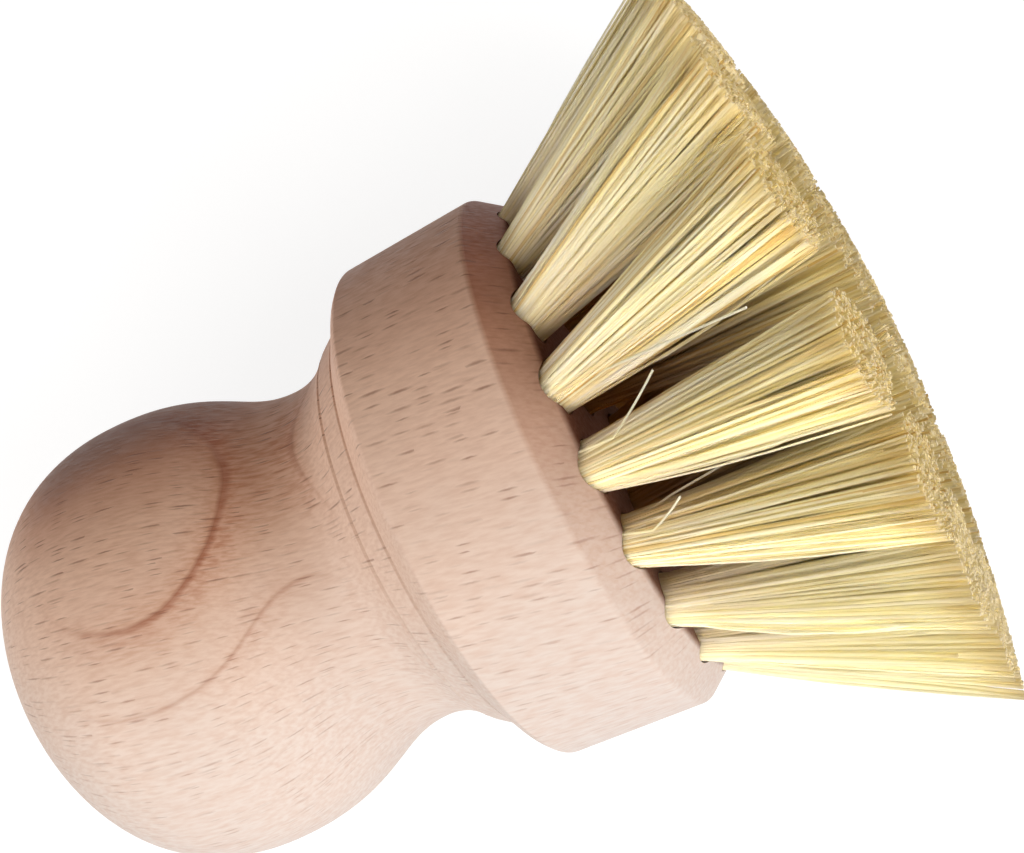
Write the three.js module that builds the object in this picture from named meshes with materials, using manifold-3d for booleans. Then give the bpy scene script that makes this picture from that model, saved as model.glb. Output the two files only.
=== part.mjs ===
// Pot brush: a turned beech handle whose head is drilled with three rings of blind holes, a tuft of
// stiff plant fibre folded into each hole, and a flat steel anchor that pins each tuft at its fold.
// The brush lies on its side, on the bulb of its handle and on its two lowest tufts.
// Millimetres, +Z up. The brush's axis points along +X and rises a little towards the fibres.

import * as THREE from "three";
import { mergeVertices } from "three/addons/utils/BufferGeometryUtils.js";
import Module from "manifold-3d";

const wasm = await Module();
wasm.setup();

// Places along the brush's axis count from the sharp front edge of the head: the fibres stand ahead
// of that edge, and the handle runs back from it.

// Head of the handle
const headRadius = 26; // at the front edge
const headBackRadius = 25.5;
const headLength = 13.8;
const headBackCorner = 0.6; // corner taken off where the wall meets the back bevel
const frontBevelLength = 3.4;
const frontBevelDepth = 2.6;

// Back of the head: a steep bevel, then a narrow turned shelf that leads into the cove of the neck
const shelfOuterRadius = 21.9;
const shelfOuterPlace = 15.7;
const shelfInnerRadius = 20.2;
const shelfInnerPlace = 18.2;
const coveEase = 3.4; // how far the cove runs along the axis before it turns out to the shelf

// Neck and bulb
const neckRadius = 17.5;
const neckPlace = 24;
const neckEase = 7; // length of the curve's handle at the neck
const bulbRadius = 22.65;
const bulbPlace = 43.4;
const bulbEase = 11; // length of the curve's handle at the bulb
const bulbFullness = 0.65; // 0.55 would be a plain ellipse, more is squarer
const handleLength = 60.6; // front edge to the end of the bulb

// Holes, and the flat steel strip that crosses each one near its bottom
const holeRadius = 2.5;
const holeDepth = 9.5; // from the mouth to the start of the drill's point
const drillPointAngle = 120; // degrees
const clearance = 0.3; // between a piece and the one that it sits in
const anchorThickness = 0.5;
const anchorWidth = 2;
const anchorBite = 0.9; // how far each end reaches into the wood
const anchorHeight = 2.6; // middle of the strip, above the start of the drill's point

// Fibre: the trimmed tips lie on a shallow dome
const fibreFlare = 11.5; // how far the rim of the tips stands out past the head's front edge
const fibreReach = 26; // from the head's front edge to that rim
const crownRise = 4; // height of the dome over its rim
const rootStand = 1.4; // packed fibre that shows above the mouth of a hole
const strandCircles = 2; // circles of strands round the middle one of a tuft
const strandRoot = 0.5; // thickness of a strand where it leaves the root
const strandTip = 1.6; // thickness at its tip, where the fibres of a strand have spread
const sectorShare = 0.92; // how much of its own sector a tuft fills at the tips
const restFlat = 0.5; // depth to which the tips that carry the brush are pressed flat

// Rings of tufts. The tips of each ring's tufts fill a band of the dome: the outer ones a band along the
// rim, and the middle and inner ones two equal bands of the rest.
const outerCount = 19;
const outerInset = 4.3; // from the head's front edge in to the middle of a hole
const outerBand = 11.4;
const middleCount = 7;
const middleInset = 8.4; // from the middle of an outer hole in to that of a middle one
const innerCount = 3;
const innerMouth = 5; // radius on which the inner holes open
const bandGap = 0.45; // between one band and the next
const bareCrown = 1.2; // radius of the middle of the dome, where no strand ends

// Search for the tilt at which the brush comes to rest
const steepestTilt = 45; // degrees
const tiltSteps = 40;

// Facets
const handleSides = 48;
const holeSides = 10;
const curveSteps = 8;
const mergeDistance = 1e-4;

// Worked out from the sizes above
const facePlace = frontBevelLength;
const faceRadius = headRadius - frontBevelDepth;
const rootRadius = holeRadius - clearance;
const outerMouth = headRadius - outerInset;
const fibreSpread = headRadius + fibreFlare; // radius of the rim of the tips
const outerFan = outerBand / 2;
const innerFan = (fibreSpread - outerBand - 2 * bandGap - bareCrown) / 4;
const crownRadius = (fibreSpread ** 2 + crownRise ** 2) / (2 * crownRise);
const crown = new THREE.Sphere(new THREE.Vector3(0, fibreReach + crownRise - crownRadius, 0), crownRadius);

// A ring's mouth is the radius on which its holes open, its tip the radius of the middle of its band, and
// its fan half the band's width. A turn is that of a ring's first tuft from the uppermost side, and an
// anchor's that from the radius, both in degrees.
const rings = [
  {
    name: "outer",
    count: outerCount,
    mouth: outerMouth,
    tip: fibreSpread - outerFan,
    fan: outerFan,
    turn: 0,
    anchorTurn: 0,
  },
  {
    name: "middle",
    count: middleCount,
    mouth: outerMouth - middleInset,
    tip: bareCrown + bandGap + 3 * innerFan,
    fan: innerFan,
    turn: 180,
    anchorTurn: 90,
  },
  {
    name: "inner",
    count: innerCount,
    mouth: innerMouth,
    tip: bareCrown + innerFan,
    fan: innerFan,
    turn: 0,
    anchorTurn: 90,
  },
];

const beech = new THREE.MeshStandardMaterial({ color: 0xd8b79c, roughness: 0.62, metalness: 0 });
const fibre = new THREE.MeshStandardMaterial({ color: 0xe3d3a4, roughness: 0.8, metalness: 0 });
const steel = new THREE.MeshStandardMaterial({ color: 0xb9bcc0, roughness: 0.35, metalness: 1 });

// A closed geometry as a solid that can be joined and cut.
function solidOf(geometry) {
  const bare = geometry.clone();
  bare.deleteAttribute("normal");
  bare.deleteAttribute("uv");
  const merged = mergeVertices(bare, mergeDistance);
  return new wasm.Manifold(
    new wasm.Mesh({
      numProp: 3,
      vertProperties: merged.attributes.position.array,
      triVerts: Uint32Array.from(merged.index.array),
    }),
  );
}

function geometryOf(solid) {
  const { vertProperties, triVerts } = solid.getMesh();
  const geometry = new THREE.BufferGeometry();
  geometry.setAttribute("position", new THREE.BufferAttribute(vertProperties, 3));
  geometry.setIndex(new THREE.BufferAttribute(triVerts, 1));
  geometry.computeVertexNormals();
  return geometry;
}

// The corners of a geometry's triangles, one after another.
function trianglesOf(geometry) {
  const places = geometry.toNonIndexed().getAttribute("position");
  return Array.from({ length: places.count }, (unused, i) =>
    new THREE.Vector3().fromBufferAttribute(places, i),
  );
}

function meshOf(name, geometry, material) {
  const mesh = new THREE.Mesh(geometry, material);
  mesh.name = name;
  return mesh;
}

// The brush is built about its own axis, +Y, with +Z as the side that lies uppermost.

// Outline of the handle, from the end of the bulb to the middle of the drilled face.
function handleProfile() {
  const outline = new THREE.Path();
  const domeLength = handleLength - bulbPlace;
  outline.moveTo(0, -handleLength);
  outline.bezierCurveTo(
    bulbFullness * bulbRadius, -handleLength,
    bulbRadius, -bulbPlace - bulbFullness * domeLength,
    bulbRadius, -bulbPlace,
  );
  outline.bezierCurveTo(
    bulbRadius, -bulbPlace + bulbEase,
    neckRadius, -neckPlace - neckEase,
    neckRadius, -neckPlace,
  );
  outline.quadraticCurveTo(neckRadius, -neckPlace + coveEase, shelfInnerRadius, -shelfInnerPlace);
  outline.lineTo(shelfOuterRadius, -shelfOuterPlace);
  outline.lineTo(headBackRadius - headBackCorner, -headLength);
  outline.lineTo(headBackRadius, -headLength + headBackCorner);
  outline.lineTo(headRadius, 0);
  outline.lineTo(faceRadius, facePlace);
  outline.lineTo(0, facePlace);
  return outline.getPoints(curveSteps);
}

// Half outline of a round plug, from a drill's point up to its rim. Lengths count from the hole's mouth.
function plugOutline(radius, depth, top) {
  const point = radius / Math.tan(THREE.MathUtils.degToRad(drillPointAngle / 2));
  return [
    new THREE.Vector2(0, -depth - point),
    new THREE.Vector2(radius, -depth),
    new THREE.Vector2(radius, top),
  ];
}

// Height of the dome of tips at a radius.
function crownHeight(radius) {
  return crown.center.y + Math.sqrt(crown.radius ** 2 - radius ** 2);
}

// The place of a ring's uppermost tuft: origin at the hole's mouth, X outwards, Y along the tuft.
function tuftFrame(ring) {
  const mouth = new THREE.Vector3(0, facePlace, ring.mouth);
  const tip = new THREE.Vector3(0, crownHeight(ring.tip), ring.tip);
  const along = tip.sub(mouth).normalize();
  const across = new THREE.Vector3(-1, 0, 0);
  const outwards = along.clone().cross(across);
  return new THREE.Matrix4().makeBasis(outwards, along, across).setPosition(mouth);
}

// The flat strip across a hole, with a margin all round it.
function anchorGeometry(ring, margin) {
  const length = 2 * (holeRadius + anchorBite + margin);
  const strip = new THREE.BoxGeometry(length, anchorWidth + 2 * margin, anchorThickness + 2 * margin);
  strip.rotateY(THREE.MathUtils.degToRad(ring.anchorTurn));
  strip.translate(0, anchorHeight - holeDepth, 0);
  return strip;
}

// Turn about the brush's axis of one tuft of a ring.
function turnOf(ring, index) {
  return THREE.MathUtils.degToRad(ring.turn + (360 * index) / ring.count);
}

// The handle is turned to its outline, then drilled and pocketed for every tuft and anchor.
function handleGeometry() {
  const turned = solidOf(new THREE.LatheGeometry(handleProfile(), handleSides));
  const cutters = rings.flatMap((ring) => {
    const outline = [...plugOutline(holeRadius, holeDepth, holeRadius), new THREE.Vector2(0, holeRadius)];
    const hole = solidOf(new THREE.LatheGeometry(outline, holeSides));
    const pocketed = geometryOf(hole.add(solidOf(anchorGeometry(ring, clearance))));
    const cutter = pocketed.applyMatrix4(tuftFrame(ring));
    return Array.from({ length: ring.count }, (unused, index) =>
      solidOf(cutter.clone().rotateY(turnOf(ring, index))),
    );
  });
  return geometryOf(turned.subtract(cutters.reduce((all, cutter) => all.add(cutter))));
}

// A point on the dome of tips, at a radius and at an angle from the uppermost side.
function crownPoint(radius, angle) {
  return new THREE.Vector3(radius * Math.sin(angle), crownHeight(radius), radius * Math.cos(angle));
}

// Where the strands of a tuft stand, as shares of its fan outwards and across: one in the middle, and
// circles of four, eight and so on round it.
function strandPlaces() {
  const places = [[0, 0]];
  for (let circle = 1; circle <= strandCircles; circle++) {
    const count = 4 * circle;
    const reach = circle / strandCircles;
    const offset = (circle + strandCircles) % 2 ? Math.PI / count : 0;
    for (let i = 0; i < count; i++) {
      const angle = offset + (2 * Math.PI * i) / count;
      places.push([reach * Math.cos(angle), reach * Math.sin(angle)]);
    }
  }
  return places;
}

// Corners of a strand's square section, in order about its length
const sectionCorners = [[1, 1], [1, -1], [-1, -1], [-1, 1]];

// The flat top of a root, open where the strands leave it. Points are (across, outwards).
function rootTop(squares) {
  const rim = Array.from({ length: holeSides }, (unused, i) => {
    const angle = (2 * Math.PI * i) / holeSides;
    return new THREE.Vector2(rootRadius * Math.cos(angle), rootRadius * Math.sin(angle));
  });
  const faces = THREE.ShapeUtils.triangulateShape(rim, squares.map((square) => [...square].reverse()));
  const points = [...rim, ...squares.flatMap((square) => [...square].reverse())];
  return faces.flat().map((i) => new THREE.Vector3(points[i].y, rootStand, points[i].x));
}

// The four sides and the trimmed end of a strand that runs from one square to another.
function strandFaces(low, high) {
  const faces = [high[0], high[1], high[2], high[0], high[2], high[3]];
  for (let i = 0; i < 4; i++) {
    const next = (i + 1) % 4;
    faces.push(low[i], low[next], high[next], low[i], high[next], high[i]);
  }
  return faces;
}

// A ring's uppermost tuft: a packed root, slotted for its anchor, and straight strands that fan out of
// it and end on the dome. A tuft keeps to its own sector of the brush, so that no two strands cross.
function tuftGeometry(ring) {
  const frame = tuftFrame(ring);
  const rootFan = rootRadius - strandRoot;
  const tipFan = ring.fan - strandTip / 2;
  const sector = (sectorShare * Math.PI) / ring.count;
  const squares = strandPlaces().map(([outwards, across]) =>
    sectionCorners.map(
      ([out, side]) =>
        new THREE.Vector2(
          across * rootFan + (side * strandRoot) / 2,
          outwards * rootFan + (out * strandRoot) / 2,
        ),
    ),
  );
  const strands = strandPlaces().flatMap(([outwards, across], i) => {
    const low = squares[i].map((point) =>
      new THREE.Vector3(point.y, rootStand, point.x).applyMatrix4(frame),
    );
    const high = sectionCorners.map(([out, side]) => {
      const radius = ring.tip + outwards * tipFan + (out * strandTip) / 2;
      const half = sector - strandTip / 2 / radius;
      return crownPoint(radius, -across * half - (side * strandTip) / 2 / radius);
    });
    return strandFaces(low, high);
  });
  const cup = new THREE.LatheGeometry(plugOutline(rootRadius, holeDepth - clearance, rootStand), holeSides);
  const root = [...trianglesOf(cup), ...rootTop(squares)].map((point) => point.applyMatrix4(frame));
  const whole = solidOf(new THREE.BufferGeometry().setFromPoints([...root, ...strands]));
  const slot = anchorGeometry(ring, clearance).applyMatrix4(frame);
  return geometryOf(whole.subtract(solidOf(slot)));
}

// Lowest point of a geometry when the brush's axis rises by a tilt.
function lowestPoint(geometry, tilt) {
  const places = geometry.getAttribute("position");
  let lowest = Infinity;
  for (let i = 0; i < places.count; i++) {
    lowest = Math.min(lowest, places.getY(i) * Math.sin(tilt) + places.getZ(i) * Math.cos(tilt));
  }
  return lowest;
}

// The tilt at which the bulb and the pressed tips of the lowest tufts touch the same floor.
function restTilt(handle, tufts) {
  let low = 0;
  let high = THREE.MathUtils.degToRad(steepestTilt);
  for (let step = 0; step < tiltSteps; step++) {
    const tilt = (low + high) / 2;
    const tips = Math.min(...tufts.map((tuft) => lowestPoint(tuft, tilt))) + restFlat;
    if (lowestPoint(handle, tilt) > tips) {
      low = tilt;
    } else {
      high = tilt;
    }
  }
  return (low + high) / 2;
}

// Everything under the floor that the brush lies on, as seen from the brush.
function underFloor(tilt, floor) {
  const size = 2 * (handleLength + fibreReach + fibreSpread);
  const block = new THREE.BoxGeometry(size, size, size);
  block.translate(0, 0, floor - size / 2);
  return solidOf(block.rotateX(-tilt));
}

const handle = handleGeometry();
const brush = new THREE.Group();
brush.add(meshOf("handle", handle, beech));

const tufts = rings.flatMap((ring) => {
  const upright = tuftGeometry(ring);
  return Array.from({ length: ring.count }, (unused, index) => ({
    ring,
    index,
    geometry: upright.clone().rotateY(turnOf(ring, index)),
  }));
});
const tilt = restTilt(handle, tufts.map((tuft) => tuft.geometry));
const floor = lowestPoint(handle, tilt);
const pressed = underFloor(tilt, floor);

for (const { ring, index, geometry } of tufts) {
  const label = `${ring.name}_tuft_${String(index + 1).padStart(2, "0")}`;
  const reachesFloor = lowestPoint(geometry, tilt) < floor;
  const shape = reachesFloor ? geometryOf(solidOf(geometry).subtract(pressed)) : geometry;
  brush.add(meshOf(label, shape, fibre));

  const anchor = meshOf(label.replace("tuft", "anchor"), anchorGeometry(ring, 0), steel);
  anchor.applyMatrix4(tuftFrame(ring).premultiply(new THREE.Matrix4().makeRotationY(turnOf(ring, index))));
  brush.add(anchor);
}

// Lay the brush down: its axis along +X, risen by the tilt, with the floor under its middle at the origin.
brush.rotation.set(0, -tilt, -Math.PI / 2, "YZX");
const potBrush = new THREE.Group();
potBrush.add(brush);
const box = new THREE.Box3().setFromObject(potBrush, true);
const middle = box.getCenter(new THREE.Vector3());
brush.position.set(-middle.x, -middle.y, -box.min.z);

export default potBrush;
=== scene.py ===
import math
import random
from collections import namedtuple

import bpy
from mathutils import Matrix, Vector


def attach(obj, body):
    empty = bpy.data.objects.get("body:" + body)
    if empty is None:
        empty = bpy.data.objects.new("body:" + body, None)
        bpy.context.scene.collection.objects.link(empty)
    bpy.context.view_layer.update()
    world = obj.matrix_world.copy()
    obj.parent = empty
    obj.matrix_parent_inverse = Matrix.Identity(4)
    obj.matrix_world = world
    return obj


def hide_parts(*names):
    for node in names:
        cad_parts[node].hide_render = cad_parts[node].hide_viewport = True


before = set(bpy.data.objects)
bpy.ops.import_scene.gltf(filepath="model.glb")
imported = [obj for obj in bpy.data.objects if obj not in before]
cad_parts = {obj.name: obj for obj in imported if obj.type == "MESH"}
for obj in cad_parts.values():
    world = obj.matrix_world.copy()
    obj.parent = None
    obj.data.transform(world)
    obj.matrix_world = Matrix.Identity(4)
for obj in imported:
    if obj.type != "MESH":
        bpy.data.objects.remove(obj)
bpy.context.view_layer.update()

# Sizes are in millimetres. Places along the axis count from the sharp front edge of the head.
MM = 0.001

# Head of the handle
HEAD_RADIUS = 26.0
HEAD_BACK_RADIUS = 25.5
HEAD_LENGTH = 13.8
HEAD_BACK_CORNER = 0.6
FACE_PLACE = 3.4
FACE_RADIUS = 23.4
SHELF_OUTER = (21.9, -15.7)  # radius and place of the turned shelf's outer and inner lines
SHELF_INNER = (20.2, -18.2)
COVE_EASE = 3.4
EDGE_EASE = 0.35  # sanded rounding of the edges
LINE_EASE = 0.2  # rounding of the finer turned lines
SCORE_WIDTH = 0.28  # half the width of the fine line that the turning tool leaves along the shelf
SCORE_DEPTH = 0.3

# Neck and bulb
NECK_RADIUS = 17.5
NECK_PLACE = -24.0
NECK_EASE = 7.0
BULB_RADIUS = 22.65
BULB_PLACE = -43.4
BULB_EASE = 11.0
BULB_FULLNESS = 0.65
HANDLE_END = -60.6

# Facets of the handle
HANDLE_SIDES = 192
CURVE_STEPS = 40
EASE_STEPS = 4
SHARP_WOOD = 35  # degrees between two faces that make their edge a sharp one

# Drilled holes and the anchors in them. Depths count from a hole's mouth.
HOLE_RADIUS = 2.5
HOLE_DEPTH = 9.5
DRILL_POINT_ANGLE = 120
HOLE_SIDES = 28
ANCHOR_BOTTOM = 7.9
ANCHOR_HALF = 0.25

# Fibre: the trimmed tips lie on a shallow dome
FIBRE_SPREAD = 37.5  # radius of the rim of the tips
FIBRE_REACH = 26.0  # place of that rim
CROWN_RISE = 4.0  # height of the dome over its rim
ROOT_RADIUS = 2.25  # of a packed tuft in the mouth of its hole
ROOT_STAND = 0.2  # height above the mouth at which the fibres part
FIBRE_RADIUS = 0.132
FIBRE_WIDTHS = (0.78, 1.25)  # thinnest and thickest fibre, as shares of that radius
FIBRE_FLATNESS = 0.75  # thickness of a fibre as a share of its width
TIP_SWELL = 0.1  # how much thicker a fibre is at its tip, as a share
FOLD_SAG = 0.4  # how far a fold hangs below the anchor, as a share of half its width
FIBRE_SIDES = 4
SHARP_FIBRE = 75  # degrees between two faces that make their edge a sharp one

# A ring's mouth is the radius on which its holes open, its tip the radius of the middle of its band of
# tips, and its fan half that band's width. Its turn is that of its first tuft from the uppermost side, and
# its anchors' that from the radius, both in degrees. Folded fibres are counted for one tuft, and steps
# along a fibre's free length.
Ring = namedtuple("Ring", "name count mouth tip fan turn anchor_turn folded steps")
RINGS = (
    Ring("outer", count=19, mouth=21.7, tip=31.8, fan=5.7, turn=0, anchor_turn=0, folded=240, steps=5),
    Ring("middle", count=7, mouth=13.3, tip=19.65, fan=6.0, turn=180, anchor_turn=90, folded=160, steps=4),
    Ring("inner", count=3, mouth=5.0, tip=7.2, fan=6.0, turn=0, anchor_turn=90, folded=160, steps=4),
)
FULL_SHADE_RADIUS = 13.3  # roots this near to the axis get the full painted shade
SHADE_DEPTH_POWER = 0.6  # below 1, the painted shade sets in early on the way to that radius

# How the tufts lie. Outer tufts are named by index.
SECTOR_SHARE = 0.95  # how much of its own sector a tuft fills at the tips
TUFT_LEAN = -1.3  # degrees by which the tips run ahead of the roots round the axis
OUTER_LEANS = {15: -2.0, 16: -4.8, 17: -5.6, 18: -3.0, 0: 0.2, 1: 1.9, 2: 0.5}  # those that lean otherwise
NEAR_SWAY = -1.8  # how far use has pushed the tips of the +X side along X
FAR_SWAY = 1.2  # and those of the far side
FAR_TRIM = 1.3  # how much shorter the far side is
FAR_POWER = 3  # how fast the far side's sway and trim fade towards the near side
ALL_TONES = (0, 1)  # of the fibres in a tuft
# Painted light: the outer tufts on the lit side take only the paler tones
PAINTED_LIGHT_TONES = (0.45, 0.9)
PAINTED_LIGHT_TUFTS = (2, 3, 4, 5)

# How tufts and fibres vary. A single number is the spread of a normal draw.
LEAN_VARIES = 0.8  # degrees
BAND_VARIES = 0.4  # of the radius of a tuft's tips
SPREADS = (0.94, 1.06)  # of a tuft, as shares of its sector
TRIM_VARIES = 0.05
LEAST_TIP = 0.3  # radius inside which no fibre ends
Habit = namedtuple("Habit", "wander bow")  # wander is a share of the tuft's fan
STRAIGHT = Habit(0.05, 0.2)
STRAY = Habit(0.3, 1.0)
STRAY_CHANCE = 0.03
WIDEST_AIM = 1.08  # furthest that a tip leaves its tuft's disc, of radius 1
SHORT_CHANCE = 0.04
SHORT_LENGTHS = (0.86, 0.97)
RIPPLE = 0.07
RIPPLE_TURNS = (1.0, 1.8)

# Single fibres that have sprung out of their tuft: where they root, how far up they leave it, and how
# far they then run at an angle to it, in degrees
Loose = namedtuple("Loose", "ring index outwards across leaves angle length")
LOOSE_FIBRES = (
    Loose("outer", 0, outwards=0.75, across=0.75, leaves=4.4, angle=28, length=7.6),
    Loose("outer", 1, outwards=0.7, across=0.8, leaves=3.6, angle=34, length=5.2),
    Loose("outer", 18, outwards=0.6, across=-0.85, leaves=6.5, angle=12, length=15.0),
)
LOOSE_LEAN = 0.15  # how far outwards one moves for each millimetre along its tuft
LOOSE_FLARE = 0.2  # and for each millimetre after it leaves it
LOOSE_ARCH = 0.4
LOOSE_TONE = 0.7
LOOSE_SHARE = 0.5  # the share of a fibre's length whose colour it has

# A tuft's map has a column for each fibre: a strip for its sides, and its cut ends below and above that
MAP_MARGIN = 0.1  # bare at both sides of a column, as a share of its width
MAP_END = 0.02  # height left for a cut end
CUT_WIDTH = 0.3  # half a cut end's width, as a share of its strip's
CUT_HEIGHT = 0.008  # half its height

# Wood: rings of growth lie about a pith that runs beside the brush, nearly along its axis
PITH = Vector((27.7, -35.0, -27.8))
GRAIN = Vector((0.2, 1.0, -0.033)).normalized()
RING_SPACING = 3.35
RING_START = 58.15  # radius of one dark line about the pith
RING_WANDER = 0.6
RAY_LENGTH = 2.4  # room for one ray along the grain
RAY_SPACING = 0.6  # and round the brush
RAY_BEND = 0.14

# Floor of the stage, in metres
FLOOR_RADIUS = 6.0
FLOOR_SWEEP = 1.5
WALL_HEIGHT = 2.1
FLOOR_SIDES = 96
SWEEP_STEPS = 12

# Lamps of the stage, in metres and watts
Lamp = namedtuple("Lamp", "name place size power")
LAMPS = (
    Lamp("key", (-0.56, -0.48, 0.57), 0.8, 4.4),
    Lamp("end light", (-0.8, -0.14, 0.3), 0.4, 2.5),
    Lamp("top light", (0.3, -0.35, 0.78), 0.5, 2.1),
    Lamp("tip light", (0.73, -0.2, 0.3), 0.8, 5.2),
    Lamp("side light", (0.4, -0.68, 0.36), 0.5, 3.8),
)
LAMP_AIM = Vector((0, 0, 0.03))
SKY_COLOUR = (1, 0.82, 0.64, 1)
SKY_STRENGTH = 0.21

# Camera, in pixels of a picture of 1024 by 853
PICTURE = (1024, 853)
FOCAL_PIXELS = 1578.1
EDGE_PIXEL = (594.9, 446.3)  # middle of the head's front edge
EDGE_DEPTH = 150.15  # its distance ahead of the camera, in millimetres
VIEW_ROLL = 25.955  # degrees that the axis climbs to the right
VIEW_TILT = 13.232  # degrees that it leans towards the camera
VIEW_SPIN = 1.8  # degrees between the uppermost tuft and the side that faces the camera
CLIP_START = 0.01  # metres


def brush_axes():
    """The brush's own axes in the frame: X to the side, Y along the fibres, Z to the uppermost side."""
    corners = [v.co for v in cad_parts["handle"].data.vertices]
    head_side = max(corners, key=lambda p: p.y)
    behind = head_side.x + 2 * SHELF_INNER[1] * MM  # well back on the neck
    bulb_side = max((p for p in corners if p.x < behind), key=lambda p: p.y)
    along = Vector((head_side.x - bulb_side.x, 0, head_side.z - bulb_side.z)).normalized()
    side = Vector((0, -1, 0))
    axes = Matrix((side, along, side.cross(along))).transposed().to_4x4()
    axes.translation = Vector((head_side.x, 0, head_side.z))
    return axes


BRUSH = brush_axes()


def laid(point):
    """A point of the brush, in millimetres in its own axes, where it lies in the frame."""
    return BRUSH @ (point * MM)


# Shapes

def curve(points, steps):
    """Points along a Bezier curve, without its first."""
    points = [Vector(p) for p in points]
    found = []
    for step in range(1, steps + 1):
        share = step / steps
        row = points
        while len(row) > 1:
            row = [a.lerp(b, share) for a, b in zip(row, row[1:])]
        found.append(row[0])
    return found


def eased(before, corner, after, ease):
    """The points of a corner rounded off over a length on both sides."""
    before, corner, after = Vector(before), Vector(corner), Vector(after)
    start = corner + (before - corner).normalized() * ease
    end = corner + (after - corner).normalized() * ease
    return [start, *curve((start, corner, end), EASE_STEPS)]


def scored(before, corner, after):
    """The points of a corner with a fine line scored into it."""
    before, corner, after = Vector(before), Vector(corner), Vector(after)
    back = (before - corner).normalized()
    ahead = (after - corner).normalized()
    inwards = Vector((back.y - ahead.y, ahead.x - back.x)).normalized()
    return [corner + back * SCORE_WIDTH, corner + inwards * SCORE_DEPTH, corner + ahead * SCORE_WIDTH]


def bulb_outline():
    """Radius and place of the outline from the end of the bulb to the neck."""
    dome = BULB_PLACE - HANDLE_END
    end = (
        (0, HANDLE_END),
        (BULB_FULLNESS * BULB_RADIUS, HANDLE_END),
        (BULB_RADIUS, BULB_PLACE - BULB_FULLNESS * dome),
        (BULB_RADIUS, BULB_PLACE),
    )
    waist = (
        (BULB_RADIUS, BULB_PLACE),
        (BULB_RADIUS, BULB_PLACE + BULB_EASE),
        (NECK_RADIUS, NECK_PLACE - NECK_EASE),
        (NECK_RADIUS, NECK_PLACE),
    )
    return [Vector((0, HANDLE_END)), *curve(end, CURVE_STEPS), *curve(waist, CURVE_STEPS)]


def handle_outline():
    """Radius and place of the handle's outline, from the end of the bulb to the middle of the face."""
    neck = (NECK_RADIUS, NECK_PLACE)
    cove = curve((neck, (NECK_RADIUS, NECK_PLACE + COVE_EASE), SHELF_INNER), CURVE_STEPS)
    cove = cove[:-2]  # the scored line takes the place of its last points
    back = (HEAD_BACK_RADIUS - HEAD_BACK_CORNER, -HEAD_LENGTH)
    wall = (HEAD_BACK_RADIUS, HEAD_BACK_CORNER - HEAD_LENGTH)
    edge = (HEAD_RADIUS, 0)
    face = (FACE_RADIUS, FACE_PLACE)
    middle = (0, FACE_PLACE)
    outline = [*bulb_outline(), *cove]
    outline += scored(cove[-1], SHELF_INNER, SHELF_OUTER)
    outline += scored(SHELF_INNER, SHELF_OUTER, back)
    outline += eased(SHELF_OUTER, back, wall, LINE_EASE)
    outline += eased(back, wall, edge, LINE_EASE)
    outline += eased(wall, edge, face, EDGE_EASE)
    outline += eased(edge, face, middle, EDGE_EASE)
    return [*outline, Vector(middle)]


def turned(outline, sides, place):
    """Points and faces of an outline turned about Y, each point put in its place by a function."""
    rings = outline[1:-1]
    points = [Vector((0, outline[0].y, 0))]
    for radius, y in rings:
        for side in range(sides):
            angle = 2 * math.pi * side / sides
            points.append(Vector((radius * math.sin(angle), y, radius * math.cos(angle))))
    points.append(Vector((0, outline[-1].y, 0)))
    last = len(points) - 1
    faces = []
    for side in range(sides):
        beside = (side + 1) % sides
        faces.append((0, 1 + beside, 1 + side))
        for ring in range(len(rings) - 1):
            low, high = 1 + ring * sides, 1 + (ring + 1) * sides
            faces.append((low + side, low + beside, high + beside, high + side))
        top = 1 + (len(rings) - 1) * sides
        faces.append((top + side, top + beside, last))
    return [place(p) for p in points], faces


def piece(name, points, faces):
    """A new object of a mesh, smooth all over."""
    mesh = bpy.data.meshes.new(name)
    mesh.from_pydata(points, [], faces)
    mesh.shade_smooth()
    made = bpy.data.objects.new(name, mesh)
    bpy.context.scene.collection.objects.link(made)
    return made


def crown_height(radius):
    """Place along the axis of the trimmed dome of tips, at a radius."""
    crown = (FIBRE_SPREAD**2 + CROWN_RISE**2) / (2 * CROWN_RISE)
    return FIBRE_REACH + CROWN_RISE - crown + math.sqrt(crown**2 - radius**2)


def turn_of(ring, index):
    """Turn of a tuft about the axis, from the uppermost side."""
    return math.radians(ring.turn) + 2 * math.pi * index / ring.count


def tuft_axes(ring, index):
    """Axes of a tuft: origin at its hole's mouth, X outwards, Y along the tuft."""
    mouth = Vector((0, FACE_PLACE, ring.mouth))
    along = (Vector((0, crown_height(ring.tip), ring.tip)) - mouth).normalized()
    across = Vector((-1, 0, 0))
    axes = Matrix((along.cross(across), along, across)).transposed().to_4x4()
    axes.translation = mouth
    return Matrix.Rotation(turn_of(ring, index), 4, "Y") @ axes


def drill_bits():
    """One object with a round drill's shape in every hole."""
    point = HOLE_RADIUS / math.tan(math.radians(DRILL_POINT_ANGLE / 2))
    outline = [
        Vector((0, -HOLE_DEPTH - point)),
        Vector((HOLE_RADIUS, -HOLE_DEPTH)),
        Vector((HOLE_RADIUS, HOLE_RADIUS)),
        Vector((0, HOLE_RADIUS)),
    ]
    points, faces = [], []
    for ring in RINGS:
        for index in range(ring.count):
            axes = tuft_axes(ring, index)
            more, sides = turned(outline, HOLE_SIDES, lambda p: laid(axes @ p))
            faces += [[len(points) + i for i in side] for side in sides]
            points += more
    return piece("drill_bits", points, faces)


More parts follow.
